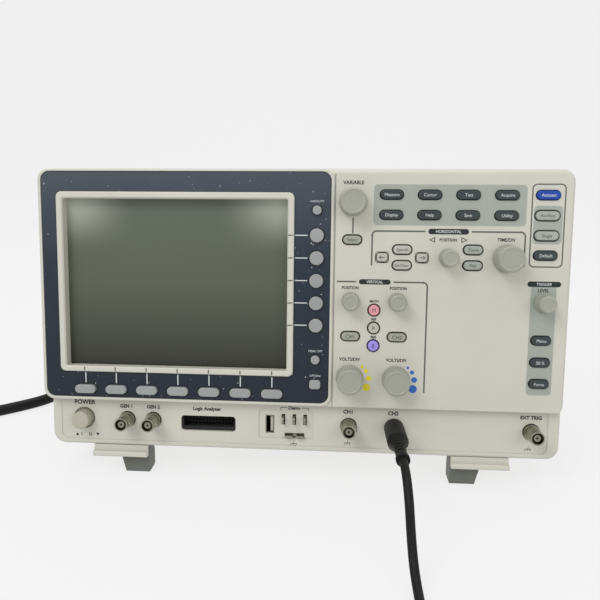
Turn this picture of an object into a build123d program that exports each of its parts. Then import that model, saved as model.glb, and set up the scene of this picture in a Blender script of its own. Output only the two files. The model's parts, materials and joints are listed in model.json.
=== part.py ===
from build123d import *
import os
from math import cos, radians, sin, tan

os.makedirs("parts", exist_ok=True)

# ----------------------------------------------------------------------------------------------
# A bench oscilloscope that stands on its two front tilt legs, with a mains lead and a patch lead.
#
# The instrument is drawn upright in the case frame: x to the right, y into the depth, z up, with
# y = 0 on the control panel's face and z = 0 on the case's underside. STANCE then leans every
# finished piece back, so that the leg soles and the rear feet rest on z = 0. The leads are
# drawn directly in that standing frame. All sizes are millimetres.
# ----------------------------------------------------------------------------------------------

# ------------------------------------------------------------------------------ driving sizes
CASE_RIGHT = 188.0
CASE_LEFT = -185.0
CASE_HEIGHT = 205.0
CASE_CORNER = 9.0
CASE_BACK = 128.0
WALL = 2.5
PANEL_WALL = 3.0
EDGE_ROUND = 4.0
BEZEL_BACK = 34.0

LOWER_TOP = 36.0
LOWER_SETBACK = 5.0
PANEL_CORNER = 6.0
LOWER_WALL_BACK = 8.0

ISLAND_LEFT, ISLAND_RIGHT = -188.0, 25.0
ISLAND_TOP = 204.2
ISLAND_FRONT = -1.2
ISLAND_BACK = 9.0
RIM = 2.2
POCKET_FLOOR = 1.4
NAVY_FRONT = -0.6
FIT_GAP = 0.15

GLASS_WIDTH, GLASS_HEIGHT = 162.2, 121.7
GLASS_X, GLASS_Z = -88.6, 122.5
GLASS_DEPTH = 5.5
FRAME_WIDTH, FRAME_HEIGHT = 171.5, 130.6
FRAME_FRONT = -2.4

KEY_GAP = 0.65
KEY_TRAVEL = 0.8
KEY_STEM_BACK = 10.2
BOARD_FRONT = 15.5
BOARD_THICKNESS = 1.6

SOFT_KEY_PITCH = 23.0
SOFT_KEY_Z = 44.4
SIDE_KEY_X = 13.0
SIDE_KEY_PITCH = 15.9
SIDE_KEY_LOWEST = 94.9
MENU_PITCH = 26.0
MENU_KEY = (15.6, 6.0)

SHAFT_RADIUS = 3.0
SHAFT_BORE = 3.05
LARGE_KNOB = (9.7, 8.9, 14.0)
SMALL_KNOB = (6.3, 5.8, 11.5)

BNC_Z = 20.2
BNC_BARREL = 4.85
BNC_FRONT = -9.5

LEAN = 7.0
LEG_PIVOT = (14.0, -4.2)
LEG_SOLE_FRONT = (9.7, -22.2)
LEG_INNER, LEG_OUTER = 112.5, 134.3
FOOT_DEPTH = 8.5
FOOT_OUTER = 153.5
LEG_PIN_RADIUS = 3.0
REAR_FOOT_FRONT = 108.0

INLET_X, INLET_Z = -130.0, 35.0
HANDLE_AXIS = (86.0, 202.5)

# The lean is about the x axis; the front lift puts the leg soles on the ground, and the shift
# brings the middle of the instrument's footprint over the origin.
FRONT_LIFT = LEG_SOLE_FRONT[0] * sin(radians(LEAN)) - LEG_SOLE_FRONT[1] * cos(radians(LEAN))
BACK_SHIFT = -71.4
STANCE = Location((0, BACK_SHIFT, FRONT_LIFT)) * Location((0, 0, 0), (-LEAN, 0, 0))


# ------------------------------------------------------------------------------ shared helpers
def front(depth):
    """Sketch plane that faces the viewer at this depth: local x is x, local y is z."""
    return Plane.XZ.offset(-depth)


def side(x):
    """Sketch plane seen from the right at this x: local x is y, local y is z."""
    return Plane.YZ.offset(x)


def stand(piece, name):
    """Lean a finished instrument piece back onto its feet and write it."""
    piece.part.label = name
    export_step(piece.part.moved(STANCE), f"parts/{name}.step")


def lay(piece, name):
    """Write a piece that was drawn in the standing frame."""
    piece.part.label = name
    export_step(piece.part, f"parts/{name}.step")


def block(x, y, z, mode=Mode.ADD):
    """Box between the given (low, high) pairs along x, y and z."""
    with Locations((x[0], y[0], z[0])):
        return Box(x[1] - x[0], y[1] - y[0], z[1] - z[0],
                   align=(Align.MIN, Align.MIN, Align.MIN), mode=mode)


def rod(x, z, radius, y_front, y_back, mode=Mode.ADD):
    """Cylinder along the depth from y_front to y_back."""
    with Locations(Location((x, (y_front + y_back) / 2, z), (90, 0, 0))):
        return Cylinder(radius, y_back - y_front, mode=mode)


def case_outline(depth, inset=0.0):
    """Front view of the case body, drawn in by inset."""
    with BuildSketch(front(depth)) as outline:
        with Locations(((CASE_LEFT + CASE_RIGHT) / 2, CASE_HEIGHT / 2)):
            RectangleRounded(
                CASE_RIGHT - CASE_LEFT - 2 * inset,
                CASE_HEIGHT - 2 * inset,
                CASE_CORNER - inset,
            )
    return outline.sketch


def panel_outline(depth, x, z, corner):
    """Rounded rectangle on a front plane, between (low, high) pairs of x and z."""
    with BuildSketch(front(depth)) as outline:
        with Locations(((x[0] + x[1]) / 2, (z[0] + z[1]) / 2)):
            RectangleRounded(x[1] - x[0], z[1] - z[0], corner)
    return outline.sketch


# --------------------------------------------------------------------------- control positions
# Each key is (shape, x, z, width, height).
def oblong(x, z, size=(12.3, 5.6)):
    return ("oblong", x, z, *size)


def disc(x, z, diameter):
    return ("round", x, z, diameter, diameter)


def square(x, z, size):
    return ("square", x, z, *size)


NAVY_KEYS = {
    "soft_keys_bottom": [oblong(-156 + SOFT_KEY_PITCH * i, SOFT_KEY_Z, (15.5, 6.4)) for i in range(7)],
    "soft_keys_side": [disc(SIDE_KEY_X, SIDE_KEY_LOWEST + SIDE_KEY_PITCH * i, 9.8) for i in range(5)],
    "display_keys": [
        disc(SIDE_KEY_X, 176.0, 6.4),
        disc(SIDE_KEY_X, 70.2, 6.4),
        square(SIDE_KEY_X, 52.3, (8.0, 6.6)),
    ],
}
PANEL_KEYS = {
    "select_key": [oblong(37.7, 155.8)],
    "menu_keys_upper": [oblong(64.3 + MENU_PITCH * i, 187.0, MENU_KEY) for i in range(4)],
    "menu_keys_lower": [oblong(64.3 + MENU_PITCH * i, 173.2, MENU_KEY) for i in range(4)],
    "autoset_key": [oblong(169.4, 187.2, MENU_KEY)],
    "run_stop_key": [oblong(169.4, 173.4, MENU_KEY)],
    "single_key": [oblong(169.4, 159.8, MENU_KEY)],
    "default_key": [oblong(169.4, 146.3, MENU_KEY)],
    "arrow_keys": [square(58.6, 143.8, (7.4, 5.8)), square(86.1, 143.8, (7.4, 5.8))],
    "search_keys": [oblong(72.4, 149.3), oblong(72.4, 138.4)],
    "zoom_keys": [oblong(120.8, 149.6), oblong(120.8, 138.8)],
    "channel_1_key": [oblong(37.6, 87.7)],
    "channel_2_key": [oblong(70.3, 87.7)],
    "function_keys": [disc(53.9, 106.6, 7.4), disc(53.9, 93.9, 7.4), disc(53.9, 81.2, 7.4)],
    "trigger_keys": [
        oblong(169.4, 87.4, (13.2, 6.0)),
        oblong(169.4, 71.9, (13.2, 6.0)),
        oblong(169.4, 56.7, (13.2, 6.0)),
    ],
}
KNOBS = {
    "knob_variable": (37.8, 181.8, LARGE_KNOB),
    "knob_horizontal_position": (104.0, 144.0, SMALL_KNOB),
    "knob_time_scale": (143.7, 144.0, LARGE_KNOB),
    "knob_channel_1_position": (37.4, 112.8, SMALL_KNOB),
    "knob_channel_2_position": (70.0, 112.8, SMALL_KNOB),
    "knob_channel_1_scale": (37.6, 57.3, LARGE_KNOB),
    "knob_channel_2_scale": (70.3, 57.3, LARGE_KNOB),
    "knob_trigger_level": (169.7, 113.6, SMALL_KNOB),
}
FRONT_BNCS = [-127.3, -107.6, 37.9, 70.6, 168.0]
POWER_X, POWER_Z, POWER_RADIUS = -160.5, 20.4, 6.5
PROBE_X, PROBE_Z, PROBE_SIZE = -66.0, 18.7, (41.0, 11.5)
USB_X, USB_Z = -20.0, 19.8
DEMO_XS, DEMO_Z = (-10.0, -2.0, 6.0), 23.6


def key_sketch(keys, depth, grow=0.0):
    """Outlines of a list of keys on a front plane, each grown by the given gap."""
    with BuildSketch(front(depth)) as outline:
        for shape, x, z, width, height in keys:
            with Locations((x, z)):
                if shape == "oblong":
                    SlotOverall(width + 2 * grow, height + 2 * grow)
                elif shape == "round":
                    Circle(width / 2 + grow)
                else:
                    RectangleRounded(width + 2 * grow, height + 2 * grow, 2.0 + grow)
    return outline.sketch


def key_group(keys, key_front, flange_front):
    """Keys with a retaining flange behind the panel and a stem that reaches for its switch."""
    with BuildPart() as group:
        extrude(key_sketch(keys, flange_front), amount=flange_front - key_front)
        fillet(group.faces().filter_by(Axis.Y).group_by(Axis.Y)[0].edges(), 0.7)
        extrude(key_sketch(keys, flange_front + 1.0, grow=1.3), amount=1.0)
        for _, x, z, _, _ in keys:
            rod(x, z, 1.6, flange_front + 1.0, KEY_STEM_BACK)
    return group


# ----------------------------------------------------------------------------------- casing
# Front bezel: one moulded shell with the control panel, the display island and the lower
# connector panel, which stands back under them.
ALL_NAVY_KEYS = [key for keys in NAVY_KEYS.values() for key in keys]
ALL_PANEL_KEYS = [key for keys in PANEL_KEYS.values() for key in keys]

with BuildPart() as front_bezel:
    extrude(case_outline(BEZEL_BACK), amount=BEZEL_BACK)
    fillet(front_bezel.faces().sort_by(Axis.Y)[0].edges(), EDGE_ROUND)
    block((-200, 200), (-1, LOWER_SETBACK), (-1, LOWER_TOP), mode=Mode.SUBTRACT)
    # round lower right corner of the control panel
    with BuildSketch(front(LOWER_SETBACK)):
        with Locations((CASE_RIGHT, LOWER_TOP)):
            Rectangle(2 * PANEL_CORNER, 2 * PANEL_CORNER)
        with Locations((CASE_RIGHT - PANEL_CORNER, LOWER_TOP + PANEL_CORNER)):
            Circle(PANEL_CORNER, mode=Mode.SUBTRACT)
            Rectangle(2 * PANEL_CORNER, 2 * PANEL_CORNER, align=(Align.MAX, Align.CENTER), mode=Mode.SUBTRACT)
            Rectangle(4 * PANEL_CORNER, 2 * PANEL_CORNER, align=(Align.CENTER, Align.MIN), mode=Mode.SUBTRACT)
    extrude(amount=LOWER_SETBACK + 1, mode=Mode.SUBTRACT)
    lower_face = front_bezel.faces().filter_by(Axis.Y).filter_by(
        lambda face: abs(face.center().Y - LOWER_SETBACK) < 0.01
    )
    fillet(lower_face.edges().filter_by(lambda edge: edge.center().Z < LOWER_TOP - 1), 2.5)
    extrude(case_outline(BEZEL_BACK, WALL), amount=BEZEL_BACK - LOWER_WALL_BACK, mode=Mode.SUBTRACT)
    extrude(
        panel_outline(LOWER_WALL_BACK, (CASE_LEFT + WALL, CASE_RIGHT - WALL),
                      (LOWER_TOP + WALL, CASE_HEIGHT - WALL), CASE_CORNER - WALL),
        amount=LOWER_WALL_BACK - PANEL_WALL,
        mode=Mode.SUBTRACT,
    )
    # display island: a raised rim round a shallow pocket, overhanging the left side
    extrude(
        panel_outline(ISLAND_BACK, (ISLAND_LEFT, ISLAND_LEFT + 30), (LOWER_TOP, ISLAND_TOP), 8.0),
        amount=ISLAND_BACK - POCKET_FLOOR,
    )
    block((CASE_LEFT + WALL, ISLAND_LEFT + 31), (PANEL_WALL, ISLAND_BACK),
          (LOWER_TOP + WALL, CASE_HEIGHT - WALL), mode=Mode.SUBTRACT)
    extrude(
        panel_outline(PANEL_WALL, (ISLAND_LEFT, ISLAND_RIGHT), (LOWER_TOP, ISLAND_TOP), 8.0),
        amount=PANEL_WALL - ISLAND_FRONT,
    )
    fillet(front_bezel.faces().filter_by(Axis.Y).sort_by(Axis.Y)[0].edges(), 0.9)
    extrude(
        panel_outline(POCKET_FLOOR, (ISLAND_LEFT + RIM, ISLAND_RIGHT - RIM),
                      (LOWER_TOP + RIM, ISLAND_TOP - RIM + 0.6), 6.5),
        amount=5,
        mode=Mode.SUBTRACT,
    )
    # shadow groove between the island and the control panel
    block((ISLAND_RIGHT + 0.1, ISLAND_RIGHT + 1.0), (-1, 0.8), (LOWER_TOP - 1, CASE_HEIGHT - 4),
          mode=Mode.SUBTRACT)
    # opening for the screen and its frame
    extrude(
        panel_outline(BEZEL_BACK, (GLASS_X - 84.5, GLASS_X + 84.5), (GLASS_Z - 64, GLASS_Z + 64), 2.0),
        amount=BEZEL_BACK + 5,
        mode=Mode.SUBTRACT,
    )
    # key holes and knob shaft holes
    extrude(key_sketch(ALL_NAVY_KEYS, 6, KEY_GAP), amount=10, mode=Mode.SUBTRACT)
    extrude(key_sketch(ALL_PANEL_KEYS, 6, KEY_GAP), amount=10, mode=Mode.SUBTRACT)
    for x, z, _ in KNOBS.values():
        rod(x, z, SHAFT_RADIUS + 0.6, -1, 6, mode=Mode.SUBTRACT)
    # lower panel: a faintly sunken field and the openings for its connectors
    extrude(panel_outline(LOWER_SETBACK + 0.5, (-178, 179.5), (4, LOWER_TOP), 5.0),
            amount=0.5, mode=Mode.SUBTRACT)
    for x in FRONT_BNCS:
        rod(x, BNC_Z, 6.2, LOWER_SETBACK - 1, LOWER_WALL_BACK + 1, mode=Mode.SUBTRACT)
    rod(POWER_X, POWER_Z, POWER_RADIUS + 1.7, LOWER_SETBACK - 1, LOWER_WALL_BACK + 1,
        mode=Mode.SUBTRACT)
    extrude(
        panel_outline(LOWER_WALL_BACK + 1, (PROBE_X - PROBE_SIZE[0] / 2, PROBE_X + PROBE_SIZE[0] / 2),
                      (PROBE_Z - PROBE_SIZE[1] / 2, PROBE_Z + PROBE_SIZE[1] / 2), 2.5),
        amount=6,
        mode=Mode.SUBTRACT,
    )
    extrude(panel_outline(LOWER_SETBACK + 1.2, (-28.3, 12.0), (9.4, 30.6), 1.5),
            amount=3, mode=Mode.SUBTRACT)
    block((USB_X - 3.3, USB_X + 3.3), (0, 10), (USB_Z - 6.9, USB_Z + 6.9), mode=Mode.SUBTRACT)
    for x in DEMO_XS:
        block((x - 1.3, x + 1.3), (0, 10), (DEMO_Z - 4.0, DEMO_Z + 4.0), mode=Mode.SUBTRACT)
    block((-9.0, 5.6), (0, 10), (9.8, 13.4), mode=Mode.SUBTRACT)
    # wells in the underside that take the folded tilt legs
    for turn in (-1, 1):
        x_low, x_high = sorted((turn * (LEG_INNER - 2.8), turn * (LEG_OUTER + 2.4)))
        block((x_low, x_high), (LOWER_SETBACK + 1, BEZEL_BACK), (0.5, 8.6))
        x_low, x_high = sorted((turn * (LEG_INNER - 1.2), turn * (LEG_OUTER + 0.8)))
        block((x_low, x_high), (8.3, 32.8), (-1, 7.2), mode=Mode.SUBTRACT)
    # clip slots in the side edge
    for z in (63.0, 175.0):
        block((CASE_RIGHT - 2.0, CASE_RIGHT + 1), (4.5, 6.5), (z - 3, z + 3), mode=Mode.SUBTRACT)
stand(front_bezel, "front_bezel")

# Navy display bezel: a plate that lies in the island's pocket.
with BuildPart() as display_bezel:
    extrude(
        panel_outline(POCKET_FLOOR, (ISLAND_LEFT + RIM + FIT_GAP, ISLAND_RIGHT - RIM - FIT_GAP),
                      (LOWER_TOP + RIM + FIT_GAP, ISLAND_TOP - RIM + 0.6 - FIT_GAP), 6.3),
        amount=POCKET_FLOOR - NAVY_FRONT,
    )
    chamfer(display_bezel.faces().filter_by(Axis.Y).sort_by(Axis.Y)[0].edges(), 0.35)
    extrude(
        panel_outline(POCKET_FLOOR, (GLASS_X - 84.5, GLASS_X + 84.5), (GLASS_Z - 64, GLASS_Z + 64), 2.0),
        amount=5,
        mode=Mode.SUBTRACT,
    )
    extrude(key_sketch(ALL_NAVY_KEYS, 3, KEY_GAP), amount=6, mode=Mode.SUBTRACT)
stand(display_bezel, "display_bezel")

# Screen frame: a flange on the navy plate and a sleeve that leads down to the glass.
with BuildPart() as screen_frame:
    extrude(
        panel_outline(NAVY_FRONT, (GLASS_X - FRAME_WIDTH / 2, GLASS_X + FRAME_WIDTH / 2),
                      (GLASS_Z + 0.3 - FRAME_HEIGHT / 2, GLASS_Z + 0.3 + FRAME_HEIGHT / 2), 4.0),
        amount=NAVY_FRONT - FRAME_FRONT,
    )
    fillet(screen_frame.faces().filter_by(Axis.Y).sort_by(Axis.Y)[0].edges(), 1.0)
    extrude(
        panel_outline(GLASS_DEPTH - 0.1, (GLASS_X - 84.2, GLASS_X + 84.2),
                      (GLASS_Z - 63.7, GLASS_Z + 63.7), 1.8),
        amount=GLASS_DEPTH - 0.1 - NAVY_FRONT,
    )
    extrude(
        panel_outline(GLASS_DEPTH, (GLASS_X - GLASS_WIDTH / 2, GLASS_X + GLASS_WIDTH / 2),
                      (GLASS_Z - GLASS_HEIGHT / 2, GLASS_Z + GLASS_HEIGHT / 2), 1.2),
        amount=GLASS_DEPTH + 5,
        mode=Mode.SUBTRACT,
    )
    inner_front = screen_frame.faces().filter_by(Axis.Y).sort_by(Axis.Y)[0].inner_wires()
    chamfer(inner_front.edges(), 0.9)
    # pointer grooves that line the keys up with the screen's menu cells
    for _, x, _, _, _ in NAVY_KEYS["soft_keys_bottom"]:
        block((x - 0.5, x + 0.5), (FRAME_FRONT - 1, FRAME_FRONT + 0.4),
              (GLASS_Z - 65.5, GLASS_Z - 60), mode=Mode.SUBTRACT)
    for _, _, z, _, _ in NAVY_KEYS["soft_keys_side"]:
        block((GLASS_X + 80, GLASS_X + 86.5), (FRAME_FRONT - 1, FRAME_FRONT + 0.4),
              (z - 0.5, z + 0.5), mode=Mode.SUBTRACT)
stand(screen_frame, "screen_frame")

with BuildPart() as screen_window:
    extrude(
        panel_outline(GLASS_DEPTH + 1.5, (GLASS_X - 83, GLASS_X + 83), (GLASS_Z - 62.5, GLASS_Z + 62.5), 2.0),
        amount=1.5,
    )
stand(screen_window, "screen_window")

# Display module: metal frame round the panel, with a backlight case and a connector behind.
with BuildPart() as lcd_module:
    block((GLASS_X - 87, GLASS_X + 87), (7.3, 12.5), (GLASS_Z - 65.5, GLASS_Z + 65.5))
    block((GLASS_X - 81.1, GLASS_X + 81.1), (7, 7.8), (GLASS_Z - 60.9, GLASS_Z + 60.9), mode=Mode.SUBTRACT)
    block((GLASS_X - 78, GLASS_X + 78), (12.5, 14.8), (GLASS_Z - 58, GLASS_Z + 58))
    for x in (GLASS_X - 60, GLASS_X + 60):
        block((x - 12, x + 12), (14.8, 18), (GLASS_Z - 50, GLASS_Z - 44))
stand(lcd_module, "lcd_module")

# Rear cover: the deep half of the case, with vents, the handle well and the rear openings.
VENT_PITCH = 6.5
FAN_X, FAN_Z = 110.0, 112.0
REAR_BNC_X, REAR_USB_X, REAR_LAN_X, REAR_PORT_Z = 40.0, 5.0, -28.0, 38.0
with BuildPart() as rear_cover:
    extrude(case_outline(CASE_BACK), amount=CASE_BACK - BEZEL_BACK - 0.3)
    fillet(rear_cover.faces().sort_by(Axis.Y)[-1].edges(), 7.5)
    extrude(case_outline(CASE_BACK - WALL, WALL), amount=CASE_BACK, mode=Mode.SUBTRACT)
    # locating lip that slides inside the front bezel
    extrude(case_outline(BEZEL_BACK + 5, WALL - 0.2), amount=4.7)
    extrude(case_outline(BEZEL_BACK + 0.3, WALL + 0.2), amount=4.3)
    extrude(case_outline(BEZEL_BACK + 6, WALL + 1.7), amount=12, mode=Mode.SUBTRACT)
    block((-200, 200), (BEZEL_BACK - 6, BEZEL_BACK + 0.3), (-1, 12), mode=Mode.SUBTRACT)
    # well for the folded handle, with its two pivot ears
    block((-88, 88), (46, 99), (189, CASE_HEIGHT - 1))
    block((-85, 85), (49, 96), (192, CASE_HEIGHT + 1), mode=Mode.SUBTRACT)
    for x_low, x_high in ((-85, -81.2), (81.2, 85)):
        block((x_low, x_high), (79, 93), (192, CASE_HEIGHT - 0.5))
    with Locations(Location((0, *HANDLE_AXIS), (0, 90, 0))):
        Cylinder(2.55, 172, mode=Mode.SUBTRACT)
    # side vents, bottom vents and the fan grille
    for row in range(11):
        z = 62 + VENT_PITCH * row
        block((-200, 200), (62, 104), (z, z + 2.6), mode=Mode.SUBTRACT)
    for column in range(12):
        x = -66 + 12 * column
        block((x, x + 3), (58, 96), (-1, WALL + 1), mode=Mode.SUBTRACT)
    with BuildSketch(front(CASE_BACK + 1)):
        with Locations((FAN_X, FAN_Z)):
            for row in range(-4, 5):
                half = (27.0**2 - (6.2 * row) ** 2) ** 0.5
                with Locations((0, 6.2 * row)):
                    SlotOverall(2 * half, 3.4)
    extrude(amount=8, mode=Mode.SUBTRACT)
    # rear openings
    block((INLET_X - 13.9, INLET_X + 13.9), (120, 130), (INLET_Z - 10, INLET_Z + 10), mode=Mode.SUBTRACT)
    rod(REAR_BNC_X, REAR_PORT_Z, 5.9, 120, 130, mode=Mode.SUBTRACT)
    block((REAR_USB_X - 6.4, REAR_USB_X + 6.4), (120, 130),
          (REAR_PORT_Z - 5.9, REAR_PORT_Z + 5.9), mode=Mode.SUBTRACT)
    block((REAR_LAN_X - 8.3, REAR_LAN_X + 8.3), (120, 130),
          (REAR_PORT_Z - 7.1, REAR_PORT_Z + 7.1), mode=Mode.SUBTRACT)
    # option bay outlines and screw wells
    for x_low in (-110, -38):
        with BuildSketch(front(CASE_BACK)):
            with Locations((x_low + 31, 120)):
                RectangleRounded(62, 46, 2)
                RectangleRounded(60, 44, 1, mode=Mode.SUBTRACT)
        extrude(amount=0.8, mode=Mode.SUBTRACT)
    for x in (-168, 171):
        for z in (17, 188):
            rod(x, z, 4.0, CASE_BACK - 1.6, CASE_BACK + 1, mode=Mode.SUBTRACT)
            rod(x, z, 1.75, CASE_BACK - 5, CASE_BACK + 1, mode=Mode.SUBTRACT)
stand(rear_cover, "rear_cover")

# Screws: four cross-head screws that hold the rear cover.
with BuildPart() as case_screws:
    for x in (-168, 171):
        for z in (17, 188):
            rod(x, z, 3.4, CASE_BACK - 1.5, CASE_BACK + 0.2)
            rod(x, z, 1.5, CASE_BACK - 14, CASE_BACK - 1.5)
            block((x - 2, x + 2), (CASE_BACK - 0.6, CASE_BACK + 1), (z - 0.4, z + 0.4), mode=Mode.SUBTRACT)
            block((x - 0.4, x + 0.4), (CASE_BACK - 0.6, CASE_BACK + 1), (z - 2, z + 2), mode=Mode.SUBTRACT)
stand(case_screws, "case_screws")

# Carry handle: folds flat into its well, and swings up and back.
with BuildPart() as carry_handle:
    block((-80, 80), (52, 66), (199.5, 208.5))
    for x_low, x_high in ((-80, -72), (72, 80)):
        block((x_low, x_high), (60, 86), (199.5, 207))
        with Locations(Location(((x_low + x_high) / 2, *HANDLE_AXIS), (0, 90, 0))):
            Cylinder(4.5, 8)
    fillet(carry_handle.edges().filter_by(Axis.X).filter_by(lambda edge: edge.length > 100), 3.0)
    for x in (-82.4, 82.4):
        with Locations(Location((x, *HANDLE_AXIS), (0, 90, 0))):
            Cylinder(2.5, 5.0)
stand(carry_handle, "carry_handle")

# ------------------------------------------------------------------------------ feet and legs
with BuildPart() as front_feet:
    for turn in (-1, 1):
        lip_low, lip_high = sorted((turn * LEG_INNER, turn * FOOT_OUTER))
        block((lip_low, lip_high), (2.5, 8.0), (-FOOT_DEPTH, -4.4))
        block((lip_low, lip_high), (5.6, 8.0), (-4.4, 0))
        pad_low, pad_high = sorted((turn * (LEG_OUTER + 1.0), turn * FOOT_OUTER))
        block((pad_low, pad_high), (8.0, 30.0), (-FOOT_DEPTH, 0))
    fillet(front_feet.edges().filter_by(Axis.X).group_by(Axis.Y)[0], 1.4)
    for turn in (-1, 1):
        pin_middle = turn * (LEG_OUTER + 1.0 - 8.5)
        with Locations(Location((pin_middle, *LEG_PIVOT), (0, 90, 0))):
            Cylinder(LEG_PIN_RADIUS, 17.0)
stand(front_feet, "front_feet")


def tilt_leg(turn):
    """Fold-out front leg, on the left for -1 and on the right for 1."""
    sole_rise = tan(radians(LEAN))
    sole_back_y = 24.0
    sole_back_z = LEG_SOLE_FRONT[1] + (sole_back_y - LEG_SOLE_FRONT[0]) * sole_rise
    with BuildPart() as leg:
        with BuildSketch(side(LEG_INNER)):
            with BuildLine():
                Polyline(
                    (10.2, -0.6), LEG_SOLE_FRONT, (sole_back_y, sole_back_z),
                    (23.6, -8.0), (20.0, -0.6), close=True,
                )
            make_face()
        extrude(amount=LEG_OUTER - LEG_INNER)
        # the outer side draws in towards the sole
        with BuildSketch(front(40)):
            with BuildLine():
                Polyline((LEG_OUTER, -FOOT_DEPTH), (LEG_OUTER + 5, -FOOT_DEPTH),
                         (LEG_OUTER + 5, -30), (LEG_OUTER - 6.2, -30), close=True)
            make_face()
        extrude(amount=40, mode=Mode.SUBTRACT)
        fillet(leg.edges().filter_by(Axis.X).group_by(Axis.Y)[0], 0.8)
        with Locations(Location((LEG_OUTER - 9.5, *LEG_PIVOT), (0, 90, 0))):
            Cylinder(LEG_PIN_RADIUS + 0.05, 20.4, mode=Mode.SUBTRACT)
        if turn < 0:
            mirror(about=Plane.YZ, mode=Mode.REPLACE)
    return leg


for name, turn in (("tilt_leg_left", -1), ("tilt_leg_right", 1)):
    stand(tilt_leg(turn), name)

# Rear feet: flat blocks whose heels are cut to lie on the ground while the case leans back.
with BuildPart() as rear_feet:
    heel_start = LEG_SOLE_FRONT[0] + (-FOOT_DEPTH - LEG_SOLE_FRONT[1]) / tan(radians(LEAN))
    heel_rise = (CASE_BACK - heel_start) * tan(radians(LEAN))
    for x_low in (-FOOT_OUTER, LEG_INNER):
        with BuildSketch(side(x_low)):
            with BuildLine():
                Polyline((REAR_FOOT_FRONT, 0), (REAR_FOOT_FRONT, -FOOT_DEPTH), (heel_start, -FOOT_DEPTH),
                         (CASE_BACK, heel_rise - FOOT_DEPTH), (CASE_BACK, 0), close=True)
            make_face()
        extrude(amount=FOOT_OUTER - LEG_INNER)
stand(rear_feet, "rear_feet")

# ----------------------------------------------------------------------------------- controls
for name, keys in NAVY_KEYS.items():
    stand(key_group(keys, NAVY_FRONT - 2.4, 3.1), name)
for name, keys in PANEL_KEYS.items():
    stand(key_group(keys, -1.6, 3.1), name)


def knob(x, z, size):
    """Knob with finger hollows round its side, fused with the shaft that it turns."""
    base_radius, cap_radius, height = size
    hollow_count = 12 if height > 12 else 7
    with BuildPart() as turned:
        with BuildSketch(Plane(origin=(x, -0.5, z), x_dir=(1, 0, 0), z_dir=(0, 0, -1))):
            with BuildLine():
                Polyline((0, 0), (base_radius, 0), (base_radius, 1.4), (base_radius - 0.3, 1.8),
                         (cap_radius, height - 0.8), (cap_radius - 0.8, height),
                         (cap_radius - 1.6, height), (cap_radius - 2.2, height - 0.3),
                         (0, height - 0.3), close=True)
            make_face()
        revolve(axis=Axis((x, 0, z), (0, 1, 0)))
        with Locations(Location((x, -0.5 - height / 2 - 0.4, z), (90, 0, 0))):
            with PolarLocations(base_radius + 1.5, hollow_count):
                Cylinder(2.1, height - 4.2, mode=Mode.SUBTRACT)
        rod(x, z, SHAFT_RADIUS, -1.5, 13.6)
    return turned


for name, (x, z, size) in KNOBS.items():
    stand(knob(x, z, size), name)

with BuildPart() as power_button:
    rod(POWER_X, POWER_Z, POWER_RADIUS, -3.0, 10.0)
    fillet(power_button.faces().sort_by(Axis.Y)[0].edges(), 1.0)
    rod(POWER_X, POWER_Z, POWER_RADIUS + 2.6, 8.1, 9.3)
    rod(POWER_X, POWER_Z, 3.0, 10.0, 20.0)
stand(power_button, "power_button")

# --------------------------------------------------------------------------- front connectors
# Bayonet jacks: barrel with two lugs, a flange in the panel and a square body behind.
MAIN_BOARD_FRONT = 36.0
with BuildPart() as bnc_sockets:
    for x in FRONT_BNCS:
        rod(x, BNC_Z, BNC_BARREL, BNC_FRONT, BNC_FRONT + 14)
        with Locations(Location((x, BNC_FRONT + 4.0, BNC_Z), (0, 90, 0))):
            Cylinder(1.0, 2 * BNC_BARREL + 1.6)
        rod(x, BNC_Z, 5.7, BNC_FRONT + 12.0, BNC_FRONT + 18.0)
        rod(x, BNC_Z, 4.05, BNC_FRONT, BNC_FRONT + 12.5, mode=Mode.SUBTRACT)
        block((x - 6.75, x + 6.75), (BNC_FRONT + 18.0, MAIN_BOARD_FRONT), (BNC_Z - 6.75, BNC_Z + 6.75))
stand(bnc_sockets, "bnc_sockets")

with BuildPart() as bnc_insulators:
    for x in FRONT_BNCS:
        rod(x, BNC_Z, 2.4, BNC_FRONT + 1.0, BNC_FRONT + 12.5)
        rod(x, BNC_Z, 0.8, BNC_FRONT, BNC_FRONT + 9.0, mode=Mode.SUBTRACT)
stand(bnc_insulators, "bnc_insulators")

# Logic probe socket: a shrouded header behind its slot, with two rows of pins.
with BuildPart() as logic_probe_socket:
    block((PROBE_X - 23, PROBE_X + 23), (8.2, 24.0), (PROBE_Z - 5.6, PROBE_Z + 7.4))
    block((PROBE_X - 19, PROBE_X + 19), (7.0, 19.0), (PROBE_Z - 3.0, PROBE_Z + 5.4), mode=Mode.SUBTRACT)
    for column in range(14):
        for row in (-0.1, 2.5):
            x = PROBE_X - 16.5 + 2.54 * column
            block((x - 0.32, x + 0.32), (12.0, 20.0), (PROBE_Z + row - 0.32, PROBE_Z + row + 0.32))
stand(logic_probe_socket, "logic_probe_socket")

with BuildPart() as usb_host_port:
    block((USB_X - 3.1, USB_X + 3.1), (6.4, 22), (USB_Z - 6.7, USB_Z + 6.7))
    block((USB_X - 2.6, USB_X + 2.6), (6, 20.5), (USB_Z - 6.2, USB_Z + 6.2), mode=Mode.SUBTRACT)
    block((USB_X + 0.4, USB_X + 2.2), (8, 21), (USB_Z - 5.6, USB_Z + 5.6))
stand(usb_host_port, "usb_host_port")

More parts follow.
